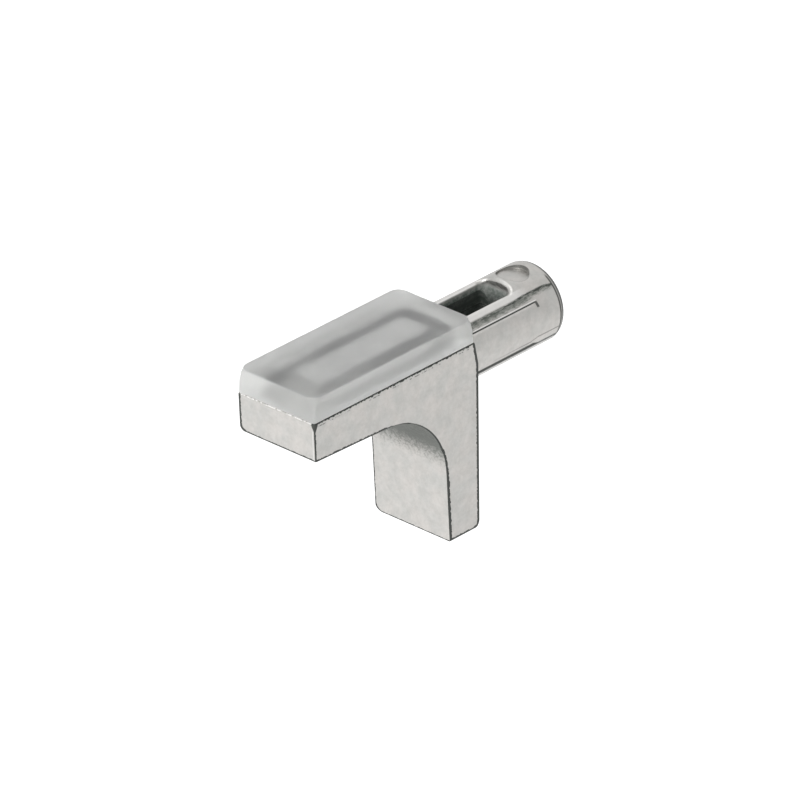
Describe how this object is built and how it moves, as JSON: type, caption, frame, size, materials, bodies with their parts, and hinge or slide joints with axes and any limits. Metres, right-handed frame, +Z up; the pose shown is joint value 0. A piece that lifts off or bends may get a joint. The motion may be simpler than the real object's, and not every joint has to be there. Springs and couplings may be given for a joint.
{
  "type": "shelf support pin",
  "caption": "Shelf support: an L-shaped die-cast bracket with an arched leg, a slotted round pin for a drilled cabinet panel, and a translucent cushion pad on its arm.",
  "frame": {"origin": "on the pin's axis, in the plane of the leg's back face that bears on the panel", "axes": "+X along the pin into the panel, +Z up towards the shelf, the arm reaches along -X"},
  "size_m": [0.0219, 0.006, 0.0138],
  "materials": {
    "cast_zinc": "bright tumbled zinc die casting, satin, with dark lines along its cast edges",
    "pad_plastic": "frosted translucent grey plastic"
  },
  "bodies": {
    "root": {"bracket": "cast_zinc", "cushion_pad": "pad_plastic"}
  },
  "joints": []
}
